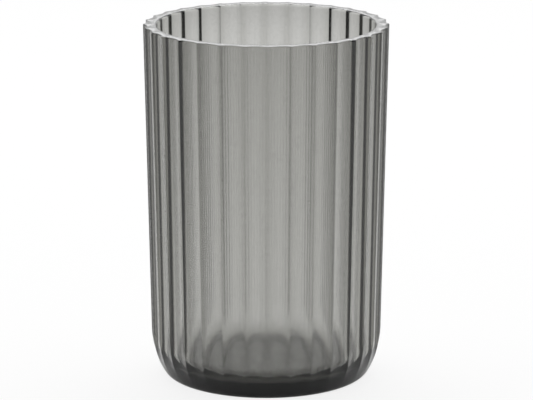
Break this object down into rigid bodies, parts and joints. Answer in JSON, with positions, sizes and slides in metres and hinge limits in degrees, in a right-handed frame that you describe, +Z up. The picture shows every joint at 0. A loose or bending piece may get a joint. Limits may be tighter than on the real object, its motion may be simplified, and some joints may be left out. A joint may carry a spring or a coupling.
{
  "type": "bathroom tumbler",
  "caption": "Free-standing drinking and toothbrush cup of smoke-grey see-through plastic, gently tapered, fluted outside, smooth inside, with a rounded lower corner and a thick base.",
  "frame": {"origin": "middle of the foot, on the surface that the tumbler stands on", "axes": "+Z up along the tumbler's axis; a flute ridge faces -Y"},
  "size_m": [0.0752, 0.0752, 0.11],
  "materials": {
    "smoke_plastic": "clear smoke-tinted moulding, polished outside, finely satin inside"
  },
  "bodies": {
    "root": {"tumbler_body": "smoke_plastic"}
  },
  "joints": []
}
